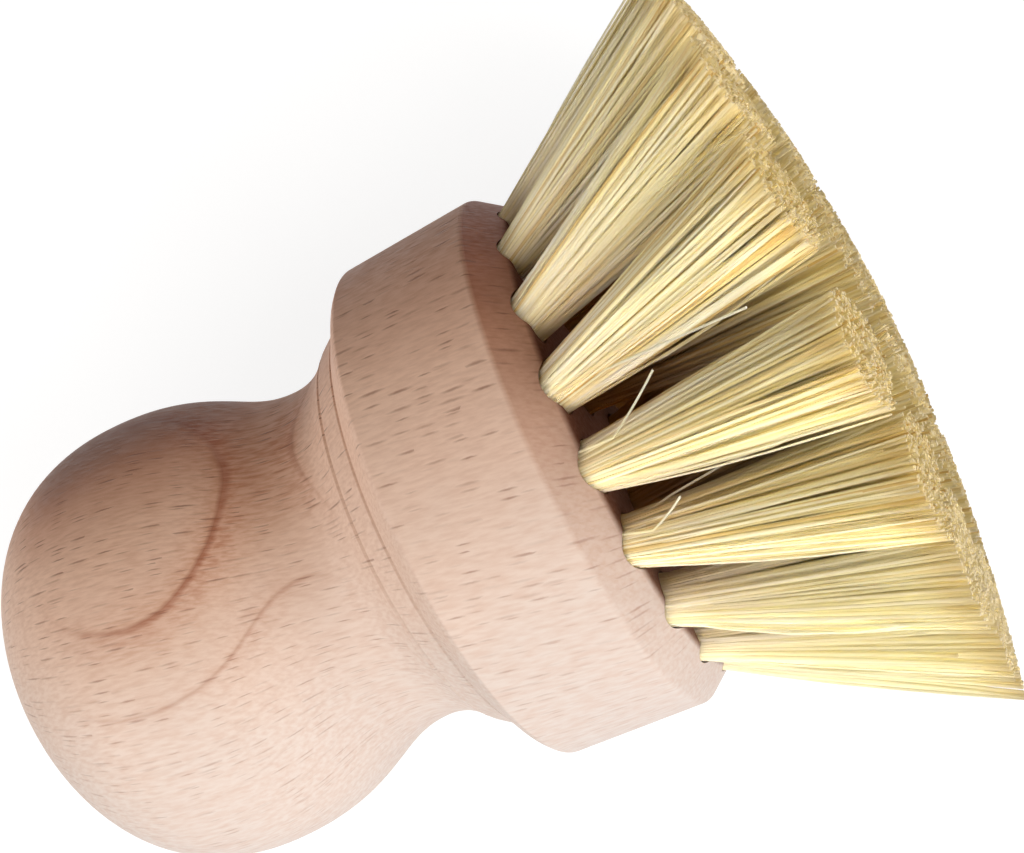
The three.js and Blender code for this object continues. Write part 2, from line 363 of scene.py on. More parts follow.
def make_handle():
    """The handle, turned to its outline and drilled."""
    handle = piece("turned_handle", *turned(handle_outline(), HANDLE_SIDES, laid))
    bits = drill_bits()
    cut = handle.modifiers.new("drilled holes", "BOOLEAN")
    cut.operation = "DIFFERENCE"
    cut.solver = "EXACT"
    cut.object = bits
    drilled = handle.evaluated_get(bpy.context.evaluated_depsgraph_get())
    mesh = bpy.data.meshes.new_from_object(drilled)
    handle.modifiers.clear()
    handle.data = mesh
    bpy.data.objects.remove(bits)
    mesh.shade_smooth()
    mesh.set_sharp_from_angle(angle=math.radians(SHARP_WOOD))
    return handle


# Fibre

# The points of a fibre from end to end with, at each, its radius, the share of the free length from root
# to tip and how deep in the brush it stands, which sets its painted shade. A fibre has one tone.
Fibre = namedtuple("Fibre", "path radii along tone depth")


def sunflower(count, dice):
    """Even places over a disc of radius 1, from a turn of chance."""
    golden = math.pi * (3 - math.sqrt(5))
    start = dice.uniform(0, 2 * math.pi)
    places = []
    for i in range(count):
        reach = math.sqrt((i + 0.5) / count)
        angle = start + i * golden
        places.append(Vector((reach * math.cos(angle), reach * math.sin(angle))))
    return places


class Tuft:
    """The folded fibres of one hole."""

    def __init__(self, ring, index):
        self.ring = ring
        self.axes = tuft_axes(ring, index)
        self.dice = random.Random(f"{ring.name} {index}")
        outer = ring.name == "outer"
        lean = OUTER_LEANS.get(index, TUFT_LEAN) if outer else TUFT_LEAN
        self.turn = turn_of(ring, index) + math.radians(lean + self.dice.gauss(0, LEAN_VARIES))
        self.out = self.dice.gauss(0, BAND_VARIES)
        self.spread = self.dice.uniform(*SPREADS)
        self.loose = [x for x in LOOSE_FIBRES if (x.ring, x.index) == (ring.name, index)]
        # Painted light: outer tufts on the lit side take only the paler tones.
        self.tones = PAINTED_LIGHT_TONES if outer and index in PAINTED_LIGHT_TUFTS else ALL_TONES

    def tip(self, place):
        """Where a fibre ends on the dome, for its place in the disc of the tuft."""
        outwards, across = place
        radius = max(LEAST_TIP, self.ring.tip + self.out + outwards * self.ring.fan)
        half = SECTOR_SHARE * self.spread * math.pi / self.ring.count
        angle = self.turn - across * half
        height = crown_height(min(radius, FIBRE_SPREAD)) + self.dice.gauss(0, TRIM_VARIES)
        side = radius * math.sin(angle)
        near = (side / FIBRE_SPREAD + 1) / 2
        far = (1 - near) ** FAR_POWER
        side += NEAR_SWAY * near + FAR_SWAY * far
        return Vector((side, height - FAR_TRIM * far, radius * math.cos(angle)))

    def free_end(self, place):
        """The free length of a fibre, from the mouth of the hole to its tip."""
        dice = self.dice
        habit = STRAY if dice.random() < STRAY_CHANCE else STRAIGHT
        aim = place + Vector((dice.gauss(0, habit.wander), dice.gauss(0, habit.wander)))
        if aim.length > WIDEST_AIM:
            aim *= WIDEST_AIM / aim.length
        root = self.axes @ Vector((place.x * ROOT_RADIUS, ROOT_STAND, place.y * ROOT_RADIUS))
        tip = self.tip(aim)
        if dice.random() < SHORT_CHANCE:
            tip = root.lerp(tip, dice.uniform(*SHORT_LENGTHS))
        along = (tip - root).normalized()
        side = Vector((dice.gauss(0, 1), dice.gauss(0, 1), dice.gauss(0, 1)))
        side = (side - along * side.dot(along)).normalized()
        bow = dice.gauss(0, habit.bow)
        ripple = dice.gauss(0, RIPPLE)
        phase = dice.uniform(0, 2 * math.pi)
        turns = dice.uniform(*RIPPLE_TURNS)
        path = []
        for step in range(self.ring.steps + 1):
            share = step / self.ring.steps
            sway = bow * math.sin(math.pi * share)
            sway += ripple * share * math.sin(phase + 2 * math.pi * turns * share)
            path.append(root.lerp(tip, share) + side * sway)
        return path

    def fold(self, a, b):
        """The stretch of a fibre inside the hole, round the lower edge of the anchor."""
        radial = self.ring.anchor_turn == 0
        least = ANCHOR_HALF + FIBRE_RADIUS

        def at(place, depth, share):
            """A place in the disc, at a depth, with a share of its distance from the anchor's middle."""
            x, z = place.x * ROOT_RADIUS, place.y * ROOT_RADIUS
            off = z if radial else x
            off = math.copysign(max(abs(off), least), off) * share
            return self.axes @ (Vector((x, -depth, off)) if radial else Vector((off, -depth, z)))

        reach = abs((a - b).y if radial else (a - b).x) * ROOT_RADIUS / 2
        bottom = ANCHOR_BOTTOM + FIBRE_RADIUS + FOLD_SAG * reach
        middle = (a + b) / 2
        down = [at(a, ANCHOR_BOTTOM / 2, 1), at(a, ANCHOR_BOTTOM, 1)]
        turn = [at(middle, bottom, 0)]
        up = [at(b, ANCHOR_BOTTOM, 1), at(b, ANCHOR_BOTTOM / 2, 1)]
        return down + turn + up

    def depth(self, root):
        """How deep in the brush a root stands, for its painted shade: 0 at the outermost, 1 in the middle.
        """
        rim = RINGS[0].mouth + ROOT_RADIUS
        inwards = max(0.0, rim - math.hypot(root.x, root.z))
        return min(1.0, (inwards / (rim - FULL_SHADE_RADIUS)) ** SHADE_DEPTH_POWER)

    def fibres(self):
        """Each folded fibre, from one tip down to the anchor and up to the other tip."""
        across = (lambda p: p.y) if self.ring.anchor_turn == 0 else (lambda p: p.x)
        places = sorted(sunflower(2 * self.ring.folded, self.dice), key=across)
        shares = [step / self.ring.steps for step in range(self.ring.steps + 1)]
        for a, b in zip(places[::-1], places[: self.ring.folded]):
            first, second = self.free_end(a), self.free_end(b)
            inside = self.fold(a, b)
            path = [*reversed(first), *inside, *second]
            along = [*reversed(shares), *[0] * len(inside), *shares]
            thick = FIBRE_RADIUS * self.dice.uniform(*FIBRE_WIDTHS)
            radii = [thick * (1 + TIP_SWELL * share) for share in along]
            one, other = self.depth(first[0]), self.depth(second[0])
            depth = [*[one] * len(first), *[(one + other) / 2] * len(inside), *[other] * len(second)]
            yield Fibre(path, radii, along, self.dice.uniform(*self.tones), depth)
        for loose in self.loose:
            yield self.sprung(loose)

    def sprung(self, loose):
        """A single fibre that has sprung out of the tuft."""
        x, z = loose.outwards * ROOT_RADIUS, loose.across * ROOT_RADIUS
        rise = loose.length * math.cos(math.radians(loose.angle))
        run = math.copysign(loose.length * math.sin(math.radians(loose.angle)), loose.across)
        bend = Vector((x + LOOSE_LEAN * loose.leaves, loose.leaves, z))
        end = bend + Vector((LOOSE_FLARE * rise, rise, run))
        arch = bend.lerp(end, 0.5) + Vector((0, LOOSE_ARCH, 0))
        path = [Vector((x, -ANCHOR_BOTTOM / 2, z)), Vector((x, 0, z)), bend]
        path += curve((bend, arch, end), self.ring.steps)
        path = [self.axes @ p for p in path]
        count = len(path)
        return Fibre(path, [FIBRE_RADIUS] * count, [LOOSE_SHARE] * count, LOOSE_TONE, [0.0] * count)


def section_axes(path):
    """Two directions across a path at each of its points, carried along without twist."""
    side = None
    for i in range(len(path)):
        ahead = path[min(i + 1, len(path) - 1)]
        behind = path[max(i - 1, 0)]
        along = (ahead - behind).normalized()
        if side is None:
            side = along.orthogonal()
        side = (side - along * side.dot(along)).normalized()
        yield side, along.cross(side)


def on_floor(point):
    """A point of a fibre in the frame, pressed up where the floor stops it."""
    return Vector((point.x, point.y, max(point.z, 0.0)))


FIBRE_CORNERS = [2 * math.pi * side / FIBRE_SIDES for side in range(FIBRE_SIDES)]


def fibre_points(fibre):
    """The corners of a fibre's sections, one section after another, in the frame."""
    points = []
    for point, radius, (u, v) in zip(fibre.path, fibre.radii, section_axes(fibre.path)):
        for angle in FIBRE_CORNERS:
            rim = u * (radius * math.cos(angle)) + v * (FIBRE_FLATNESS * radius * math.sin(angle))
            points.append(on_floor(laid(point + rim)))
    return points


def fibre_faces(start, rows):
    """The faces of a fibre's sides and then of its cut ends. Start is the number of its first corner."""
    faces = []
    for row in range(rows - 1):
        low, high = start + row * FIBRE_SIDES, start + (row + 1) * FIBRE_SIDES
        for side in range(FIBRE_SIDES):
            beside = (side + 1) % FIBRE_SIDES
            faces.append((low + side, low + beside, high + beside, high + side))
    first = [start + side for side in range(FIBRE_SIDES)]
    last = [start + (rows - 1) * FIBRE_SIDES + side for side in range(FIBRE_SIDES)]
    return [*faces, first[::-1], last]


def fibre_map(number, count, rows):
    """Where the corners of those faces lie on the tuft's map, for one fibre of a count of them."""
    left, right = (number + MAP_MARGIN) / count, (number + 1 - MAP_MARGIN) / count
    strip = 1 - 2 * MAP_END
    found = []
    for row in range(rows - 1):
        low, high = (MAP_END + strip * (row + i) / (rows - 1) for i in (0, 1))
        for side in range(FIBRE_SIDES):
            start, end = (left + (right - left) * (side + i) / FIBRE_SIDES for i in (0, 1))
            found += [(start, low), (end, low), (end, high), (start, high)]
    middle, half = (left + right) / 2, CUT_WIDTH * (right - left)
    for height in (MAP_END / 2, 1 - MAP_END / 2):
        for angle in FIBRE_CORNERS:
            found.append((middle + half * math.cos(angle), height + CUT_HEIGHT * math.sin(angle)))
    return found


def make_tuft(ring, index):
    """One tuft's fibres as a piece. Each point knows its fibre's tone, its share of length and its depth,
    which sets its painted shade.
    """
    points, faces, tones, shares, depths, maps = [], [], [], [], [], []
    fibres = list(Tuft(ring, index).fibres())
    for number, fibre in enumerate(fibres):
        rows = len(fibre.path)
        faces += fibre_faces(len(points), rows)
        maps += fibre_map(number, len(fibres), rows)
        points += fibre_points(fibre)
        tones += [fibre.tone] * (rows * FIBRE_SIDES)
        shares += [share for share in fibre.along for side in range(FIBRE_SIDES)]
        depths += [depth for depth in fibre.depth for side in range(FIBRE_SIDES)]
    made = piece(f"{ring.name}_fibres_{index + 1:02d}", points, faces)
    mesh = made.data
    for name, values in (("fibre_tone", tones), ("fibre_share", shares), ("fibre_depth", depths)):
        mesh.attributes.new(name, "FLOAT", "POINT").data.foreach_set("value", values)
    mesh.uv_layers.new(name="OFBake").data.foreach_set("uv", [x for uv in maps for x in uv])
    mesh.set_sharp_from_angle(angle=math.radians(SHARP_FIBRE))
    return made


# Finishes. Colours are as they show on a screen, from 0 to 255.

def paint(red, green, blue):
    """A colour for a shader."""
    def even(level):
        level /= 255
        return level / 12.92 if level <= 0.04045 else ((level + 0.055) / 1.055) ** 2.4
    return (even(red), even(green), even(blue), 1)


def put(tree, kind, inputs=None, **settings):
    """A node of a kind, with its settings, and each input given a value or joined to an output."""
    node = tree.nodes.new(kind)
    for name, value in settings.items():
        setattr(node, name, value)
    for name, value in (inputs or {}).items():
        if isinstance(value, bpy.types.NodeSocket):
            tree.links.new(value, node.inputs[name])
        else:
            node.inputs[name].default_value = value
    return node


def math_of(tree, operation, *values):
    """The output of a math node."""
    return put(tree, "ShaderNodeMath", dict(enumerate(values)), operation=operation).outputs[0]


def plus(tree, first, second):
    return math_of(tree, "ADD", first, second)


def minus(tree, first, second):
    return math_of(tree, "SUBTRACT", first, second)


def times(tree, first, second):
    return math_of(tree, "MULTIPLY", first, second)


def swing(tree, value, width):
    """A value from 0 to 1 as a swing of a whole width about nought."""
    return times(tree, minus(tree, value, 0.5), width)


def vector_of(tree, operation, *values):
    """The outputs of a vector math node."""
    return put(tree, "ShaderNodeVectorMath", dict(enumerate(values)), operation=operation).outputs


def mapped(tree, value, given, wanted=(0.0, 1.0), kind="LINEAR"):
    """A value carried from one range to another and held at its ends."""
    return put(tree, "ShaderNodeMapRange", {
        "Value": value,
        "From Min": given[0],
        "From Max": given[1],
        "To Min": wanted[0],
        "To Max": wanted[1],
    }, interpolation_type=kind).outputs[0]


def smoothly(tree, value, given, wanted=(0.0, 1.0)):
    """The same, with soft ends."""
    return mapped(tree, value, given, wanted, "SMOOTHSTEP")


def ramp(tree, value, stops):
    """A value turned into a colour by stops of (place, colour)."""
    node = put(tree, "ShaderNodeValToRGB", {"Fac": value})
    bar = node.color_ramp.elements
    while len(bar) < len(stops):
        bar.new(0.5)
    for stop, (place, colour) in zip(bar, stops):
        stop.position = place
        stop.color = paint(*colour)
    return node.outputs["Color"]


# Sockets of a mix node that belong to colours, which share their names with those for numbers
MIX_SHARE, MIX_FIRST, MIX_SECOND, MIX_RESULT = 0, 6, 7, 2


def blended(tree, share, first, second, kind="MIX"):
    """Two colours mixed by a share of the second."""
    inputs = {MIX_SHARE: share, MIX_FIRST: first, MIX_SECOND: second}
    return put(tree, "ShaderNodeMix", inputs, data_type="RGBA", blend_type=kind).outputs[MIX_RESULT]


def new_material(name):
    made = bpy.data.materials.new(name)
    made.use_nodes = True
    made.node_tree.nodes.clear()
    return made, made.node_tree


def object_place(tree):
    """The place of a shaded point, in metres in the frame."""
    return put(tree, "ShaderNodeTexCoord").outputs["Object"]


def bumps(tree, height, strength, distance):
    """The normal of a surface with bumps of a height, over a distance in metres."""
    return put(tree, "ShaderNodeBump", {
        "Height": height, "Strength": strength, "Distance": distance}).outputs[0]


def shade(tree, **inputs):
    """The surface shader of a material, with named inputs, joined to its output."""
    named = {name.replace("_", " "): value for name, value in inputs.items()}
    surface = put(tree, "ShaderNodeBsdfPrincipled", named, subsurface_method="BURLEY")
    put(tree, "ShaderNodeOutputMaterial", {"Surface": surface.outputs[0]})


DRIFT_DETAIL = 3.0
TOOTH_DETAIL = 2.0


def wear_group():
    """Slow drift of tone and fine tooth of a natural surface, used by the wood, the fibre and the steel."""
    group = bpy.data.node_groups.new("natural surface", "ShaderNodeTree")
    face = group.interface
    face.new_socket("Vector", in_out="INPUT", socket_type="NodeSocketVector")
    face.new_socket("Drift Scale", in_out="INPUT", socket_type="NodeSocketFloat")
    face.new_socket("Tooth Scale", in_out="INPUT", socket_type="NodeSocketFloat")
    face.new_socket("Drift", in_out="OUTPUT", socket_type="NodeSocketFloat")
    face.new_socket("Tooth", in_out="OUTPUT", socket_type="NodeSocketFloat")
    given = group.nodes.new("NodeGroupInput").outputs
    drift = put(group, "ShaderNodeTexNoise", {
        "Vector": given["Vector"], "Scale": given["Drift Scale"], "Detail": DRIFT_DETAIL})
    tooth = put(group, "ShaderNodeTexNoise", {
        "Vector": given["Vector"], "Scale": given["Tooth Scale"], "Detail": TOOTH_DETAIL})
    put(group, "NodeGroupOutput", {"Drift": drift.outputs["Fac"], "Tooth": tooth.outputs["Fac"]})
    return group


NATURAL = wear_group()


def natural(tree, vector, drift_scale, tooth_scale):
    """The drift and the tooth of a natural surface, each from 0 to 1."""
    node = put(tree, "ShaderNodeGroup", {
        "Vector": vector, "Drift Scale": drift_scale, "Tooth Scale": tooth_scale}, node_tree=NATURAL)
    return node.outputs["Drift"], node.outputs["Tooth"]


# Beech. Scales are per millimetre.
BEECH_DRIFT = 0.06
BEECH_TOOTH = 2.2

# A ray fills part of its cell
RAY_SHAPE = (2.2, 5.2, 0.0)  # higher is shorter along the grain, and narrower
RAY_SIZES = (0.7, 1.5)  # the same for the largest and the smallest ray
RAY_EDGE = (1.0, 0.25)  # from nothing to the full mark
RAY_BARE = 0.25  # share of the cells that stay bare
RAY_POWER = 1.4  # above 1, more of the others are faint
RAY_FACING = (0.95, 0.7)  # surfaces that face along the grain have none
RAY_SIDES = (0.3, 1.1)  # strength on the near and the far side of the brush
RAY_STRENGTH = 0.9
RAY_COLOUR = (134, 88, 67)

# Fine grain, drawn out along the timber
GRAIN_SHAPE = (0.55, 3.4, 2.4)
GRAIN_DETAIL = 3.0
GRAIN_RANGE = (0.36, 0.68)
GRAIN_STRENGTH = 0.3
GRAIN_COLOUR = (190, 146, 122)

# Painted light and shade: the wood is painted pale on the near, lit side and brown on the far, shaded side,
# in millimetres across the brush
PAINTED_SHADE_SPAN = (-26, 32)
PAINTED_SHADE_UNEVEN = 12
PAINTED_LIGHT_END = (-46, -60)  # places along the axis
PAINTED_LIGHT_BY = -10
PAINTED_SHADE_BACK = (-16, -28)  # places along the axis
PAINTED_SHADE_TOP = (11, 21)
PAINTED_SHADE_BY = 10
PAINTED_LIGHT_TO_SHADE_COLOURS = (
    (0.0, (200, 190, 184)),
    (0.27, (209, 193, 182)),
    (0.45, (220, 193, 175)),
    (0.67, (238, 200, 176)),
    (0.825, (222, 174, 148)),
    (0.9, (192, 140, 115)),
    (1.0, (132, 86, 67)),
)

# The drilled face is painted darker, partly as its end grain and partly as painted shade between the tufts;
# the bevelled front gets painted shade, strongest on the far side
BEVEL_EDGE = (-0.2, 0.3)
BEVEL_PAINTED_SHADE = (0.12, 1.47)  # on the near and the far side
BEVEL_SHADE_COLOUR = (190, 148, 124)
FACE_EDGE = (FACE_PLACE - 0.4, FACE_PLACE)
FACE_PAINTED_SHADE = 0.95
FACE_SHADE_COLOUR = (140, 100, 78)

# Growth lines show best near one of them, over a stretch of the timber
LINE_REACH = (1.0, 5.5)
LINE_CLEAR = (0.85, 0.1)
LINE_STARTS = (-24.0, -10.0)
LINE_ENDS = (8.0, 0.0)
LINE_FADES = (0.72, 0.85)  # towards the far side of the blank
LINE_FADED = (1.0, 0.3)
LINE_COLOURS = (
    (0.0, (192, 150, 128)),
    (0.04, (248, 243, 238)),
    (0.09, (255, 255, 255)),
    (0.94, (255, 255, 255)),
    (1.0, (202, 162, 140)),
)

# The wood darkens a little towards each line
BAND_STARTS = (0.36, 0.6)  # from the near side of the blank
BAND_CLEAR = (0.25, 1.0)
BAND_GRAIN = (0.1, 0.9)
BAND_PATCHES = (0.6, 1.2)
BAND_COLOURS = (
    (0.0, (238, 217, 203)),
    (0.3, (252, 246, 242)),
    (0.6, (250, 240, 232)),
    (0.98, (222, 184, 162)),
    (1.0, (238, 217, 203)),
)

BEECH_TOOTH_HEIGHT = 0.3
BEECH_BUMP = 0.12
BEECH_BUMP_DISTANCE = 0.0002
BEECH_ROUGHNESS = (0.5, 0.72)


def wood_axes():
    """Axes of the timber in the frame: X along the grain, Z out from the pith through the brush."""
    along = BRUSH.to_3x3() @ GRAIN
    out = laid(Vector((0, PITH.y, 0))) - laid(PITH)
    out = (out - along * out.dot(along)).normalized()
    axes = Matrix((along, out.cross(along), out)).transposed().to_4x4()
    axes.translation = laid(PITH)
    return axes


def seen_in(tree, place, axes):
    """A place of the frame as it is in other axes."""
    return put(tree, "ShaderNodeMapping", {
        "Vector": place, "Location": axes.translation, "Rotation": axes.to_euler()},
        vector_type="TEXTURE").outputs[0]


def in_metres(sizes):
    return [size * MM for size in sizes]


def pith_radius(tree, parts):
    """Distance from the pith, in millimetres."""
    squares = [times(tree, parts[name], parts[name]) for name in ("Y", "Z")]
    return math_of(tree, "SQRT", plus(tree, *squares))


def growth_ring(tree, radius, drift):
    """How far through its ring of growth a point lies, from 0 to 1."""
    wandering = plus(tree, radius, swing(tree, drift, RING_WANDER))
    phase = math_of(tree, "DIVIDE", minus(tree, wandering, RING_START), RING_SPACING)
    return math_of(tree, "FRACT", phase)


def ray_marks(tree, parts, tooth, axes):
    """Short dashes along the grain, spread round the brush in cells of one each."""
    centre = axes.inverted() @ laid(Vector((0, PITH.y, 0))) / MM
    about = math_of(tree, "ARCTAN2", minus(tree, parts["Y"], centre.y), minus(tree, parts["Z"], centre.z))
    round_brush = plus(tree, times(tree, about, BULB_RADIUS / RAY_SPACING), swing(tree, tooth, RAY_BEND))
    along = math_of(tree, "DIVIDE", parts["X"], RAY_LENGTH)
    flat = put(tree, "ShaderNodeCombineXYZ", {0: along, 1: round_brush}).outputs[0]
    cells = put(tree, "ShaderNodeTexVoronoi", {
        "Vector": flat, "Scale": 1.0, "Randomness": 1.0}, feature="F1", voronoi_dimensions="2D").outputs
    chance, size, _ = put(tree, "ShaderNodeSeparateColor", {0: cells["Color"]}).outputs
    offset = vector_of(tree, "SUBTRACT", flat, cells["Position"])[0]
    shaped = vector_of(tree, "MULTIPLY", offset, RAY_SHAPE)[0]
    apart = vector_of(tree, "LENGTH", shaped)["Value"]
    apart = times(tree, apart, mapped(tree, size, (0, 1), RAY_SIZES))
    strong = math_of(tree, "POWER", mapped(tree, chance, (RAY_BARE, 1.0)), RAY_POWER)
    normal = put(tree, "ShaderNodeNewGeometry").outputs["Normal"]
    facing = vector_of(tree, "DOT_PRODUCT", normal, axes.col[0].to_3d())["Value"]
    long_grain = mapped(tree, math_of(tree, "ABSOLUTE", facing), RAY_FACING)
    return times(tree, times(tree, mapped(tree, apart, RAY_EDGE), strong), long_grain)


def fine_grain(tree, timber):
    """Fine straight grain, from 0 to 1."""
    lines = vector_of(tree, "MULTIPLY", timber, GRAIN_SHAPE)[0]
    noise = put(tree, "ShaderNodeTexNoise", {"Vector": lines, "Scale": 1.0, "Detail": GRAIN_DETAIL})
    return mapped(tree, noise.outputs["Fac"], GRAIN_RANGE)


def painted_shade_side(tree, place, ahead, drift):
    """How far a point lies towards the painted shade, from 0 on the near, lit side to 1 on the far, shaded
    side, with painted light at the bulb's end and painted shade on the far side of the neck.
    """
    across = put(tree, "ShaderNodeSeparateXYZ", {0: place}).outputs["Y"]
    uneven = swing(tree, drift, PAINTED_SHADE_UNEVEN * MM)
    painted_light_end = smoothly(tree, ahead, in_metres(PAINTED_LIGHT_END), (0.0, PAINTED_LIGHT_BY * MM))
    painted_shade_back = smoothly(tree, ahead, in_metres(PAINTED_SHADE_BACK), (0.0, PAINTED_SHADE_BY * MM))
    painted_shade_top = smoothly(tree, across, in_metres(PAINTED_SHADE_TOP))
    across = plus(tree, plus(tree, across, uneven), painted_light_end)
    across = plus(tree, across, times(tree, painted_shade_back, painted_shade_top))
    return mapped(tree, across, in_metres(PAINTED_SHADE_SPAN))


def ends_with_painted_shade(tree, body, ahead, side):
    """The wood's colour with painted shade on the bevelled front and on the drilled face, whose end grain is
    also darker.
    """
    bevel_shade = mapped(tree, math_of(tree, "POWER", side, 2.0), (0, 1), BEVEL_PAINTED_SHADE)
    bevel = times(tree, mapped(tree, ahead, in_metres(BEVEL_EDGE)), bevel_shade)
    body = blended(tree, bevel, body, paint(*BEVEL_SHADE_COLOUR), "MULTIPLY")
    face = times(tree, mapped(tree, ahead, in_metres(FACE_EDGE)), FACE_PAINTED_SHADE)
    return blended(tree, face, body, paint(*FACE_SHADE_COLOUR), "MULTIPLY")


def growth_lines(tree, body, parts, drift, grain, side):
    """The wood's colour with its growth lines and the bands between them."""
    radius = pith_radius(tree, parts)
    ring = growth_ring(tree, radius, drift)
    off_line = math_of(tree, "ABSOLUTE", minus(tree, radius, RING_START))
    stretch = times(tree, smoothly(tree, parts["X"], LINE_STARTS), smoothly(tree, parts["X"], LINE_ENDS))
    clear = times(tree, mapped(tree, off_line, LINE_REACH, LINE_CLEAR), stretch)
    patchy = mapped(tree, grain, BAND_GRAIN, BAND_PATCHES)
    banded = times(tree, mapped(tree, side, BAND_STARTS, BAND_CLEAR), patchy)
    faded = mapped(tree, side, LINE_FADES, LINE_FADED)
    body = blended(tree, times(tree, clear, banded), body, ramp(tree, ring, BAND_COLOURS), "MULTIPLY")
    return blended(tree, times(tree, clear, faded), body, ramp(tree, ring, LINE_COLOURS), "MULTIPLY")


def beech():
    """Plain beech with painted light and shade, pale on the lit side and brown on the shaded side: faint
    growth lines, short dark rays and fine straight grain.
    """
    made, tree = new_material("beech")
    place = object_place(tree)
    axes = wood_axes()
    timber = put(tree, "ShaderNodeVectorMath", {
        0: seen_in(tree, place, axes), "Scale": 1 / MM}, operation="SCALE").outputs[0]
    parts = put(tree, "ShaderNodeSeparateXYZ", {0: timber}).outputs
    ahead = put(tree, "ShaderNodeSeparateXYZ", {0: seen_in(tree, place, BRUSH)}).outputs["Y"]
    drift, tooth = natural(tree, timber, BEECH_DRIFT, BEECH_TOOTH)
    grain = fine_grain(tree, timber)
    side = painted_shade_side(tree, place, ahead, drift)
    # Painted light and shade: pale on the near, lit side and brown on the far, shaded side.
    body = ramp(tree, side, PAINTED_LIGHT_TO_SHADE_COLOURS)
    body = blended(tree, times(tree, grain, GRAIN_STRENGTH), body, paint(*GRAIN_COLOUR))
    # Painted shade on the bevel and on the drilled face.
    body = ends_with_painted_shade(tree, body, ahead, side)
    body = growth_lines(tree, body, parts, drift, grain, side)
    ray = times(tree, ray_marks(tree, parts, tooth, axes), mapped(tree, side, (0, 1), RAY_SIDES))
    body = blended(tree, times(tree, ray, RAY_STRENGTH), body, paint(*RAY_COLOUR))
    height = minus(tree, times(tree, tooth, BEECH_TOOTH_HEIGHT), ray)
    shade(
        tree,
        Base_Color=body,
        Roughness=mapped(tree, grain, (0, 1), BEECH_ROUGHNESS),
        Normal=bumps(tree, height, BEECH_BUMP, BEECH_BUMP_DISTANCE),
    )
    return made


# Plant fibre. Scales are per metre.
FIBRE_DRIFT = 120.0
FIBRE_TOOTH = 2500.0
FIBRE_TONES = (
    (0.0, (216, 188, 124)),
    (0.12, (239, 229, 188)),
    (0.5, (247, 242, 213)),
    (0.85, (251, 248, 232)),
    (1.0, (234, 216, 166)),
)
FIBRE_LENGTH_TIP_SHADE = (  # from root to tip, with painted shade darkening the last part towards the cut tips
    (0.0, (255, 255, 255)),
    (0.25, (255, 255, 255)),
    (0.5, (255, 255, 247)),
    (0.84, (251, 248, 234)),
    (0.93, (236, 227, 203)),
    (1.0, (212, 199, 172)),
)
SPECK_RANGE = (0.4, 1.0)
SPECK_STRENGTH = (0.0, 0.24)
SPECK_COLOUR = (206, 186, 134)
# Painted shade: fibres deep in the brush are painted browner towards their roots
FIBRE_DEEP_SHADE_LENGTH = (0.15, 0.95)  # shares of a fibre's length between which its painted shade ends
FIBRE_DEEP_SHADE_COLOUR = (156, 100, 36)
FIBRE_BUMP = 0.15
FIBRE_BUMP_DISTANCE = 0.0001
FIBRE_ROUGHNESS = (0.5, 0.75)
FIBRE_GLOW = 0.85  # share of the light that passes into a fibre
FIBRE_GLOW_COLOUR = (1.0, 0.92, 0.56)
FIBRE_GLOW_REACH = 0.0008


def plant_fibre():
    """Pale stiff leaf fibre, each of a tone from cream to straw, with painted shade: browner towards its cut
    tip, and browner near the roots deep in the brush.
    """
    made, tree = new_material("plant fibre")
    tone, share, depth = (
        put(tree, "ShaderNodeAttribute", attribute_name=name).outputs["Fac"]
        for name in ("fibre_tone", "fibre_share", "fibre_depth")
    )
    drift, tooth = natural(tree, object_place(tree), FIBRE_DRIFT, FIBRE_TOOTH)
    # Painted shade towards the cut tips.
    body = blended(tree, 1.0, ramp(tree, tone, FIBRE_TONES), ramp(tree, share, FIBRE_LENGTH_TIP_SHADE), "MULTIPLY")
    speck = mapped(tree, drift, SPECK_RANGE, SPECK_STRENGTH)
    body = blended(tree, speck, body, paint(*SPECK_COLOUR))
    # Painted shade deep in the brush, fading towards the tips.
    painted_shade = times(tree, depth, mapped(tree, share, FIBRE_DEEP_SHADE_LENGTH, (1.0, 0.0)))
    body = blended(tree, painted_shade, body, paint(*FIBRE_DEEP_SHADE_COLOUR))
    shade(
        tree,
        Base_Color=body,
        Roughness=mapped(tree, tooth, (0, 1), FIBRE_ROUGHNESS),
        Normal=bumps(tree, tooth, FIBRE_BUMP, FIBRE_BUMP_DISTANCE),
        Subsurface_Weight=FIBRE_GLOW,
        Subsurface_Radius=FIBRE_GLOW_COLOUR,
        Subsurface_Scale=FIBRE_GLOW_REACH,
    )
    return made


# Steel. Scales are per metre.
STEEL_DRIFT = 300.0
STEEL_TOOTH = 4000.0
STEEL_COLOURS = ((0.3, (176, 178, 182)), (0.7, (204, 206, 208)))
STEEL_ROUGHNESS = (0.28, 0.45)


def anchor_steel():
    """Flat bright steel wire."""
    made, tree = new_material("anchor steel")
    drift, tooth = natural(tree, object_place(tree), STEEL_DRIFT, STEEL_TOOTH)
    rough = mapped(tree, tooth, (0, 1), STEEL_ROUGHNESS)
    shade(tree, Base_Color=ramp(tree, drift, STEEL_COLOURS), Roughness=rough, Metallic=1.0)
    return made


# Floor, in shares of white
FLOOR_MATT = (0.3, 0.3, 0.3, 1)  # as it lights the brush
FLOOR_SHOWN = (0.22, 0.22, 0.22, 1)  # as the camera sees it, on top of the glow
FLOOR_GLOW = 0.86


